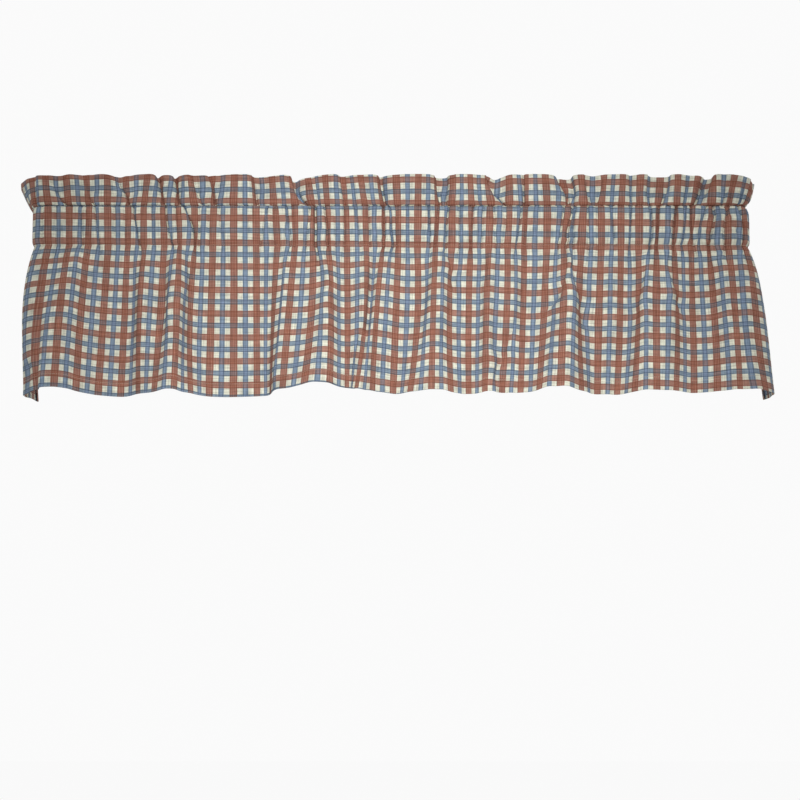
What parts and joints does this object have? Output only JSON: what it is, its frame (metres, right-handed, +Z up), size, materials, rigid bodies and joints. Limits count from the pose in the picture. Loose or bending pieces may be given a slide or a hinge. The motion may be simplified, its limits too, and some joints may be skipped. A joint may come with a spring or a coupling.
{
  "type": "window valance",
  "caption": "Gathered window valance in checked woven cotton, with a ruffled heading, a flat rod pocket and returns that wrap round the rod ends.",
  "frame": {"origin": "middle of the top edge, on the centre line of the curtain rod that the pocket is made for", "axes": "+X along the window to the right as seen from the room, +Z up, the face looks along -Y and the returns run back along +Y to the wall"},
  "size_m": [1.317, 0.1691, 0.3949],
  "materials": {
    "face_cotton": "matte woven cotton, brick red and blue check on cream",
    "facing_cotton": "matte woven cotton, the same check seen from behind"
  },
  "bodies": {
    "root": {"valance_panel": "face_cotton", "rod_pocket_facing": "facing_cotton"}
  },
  "joints": []
}
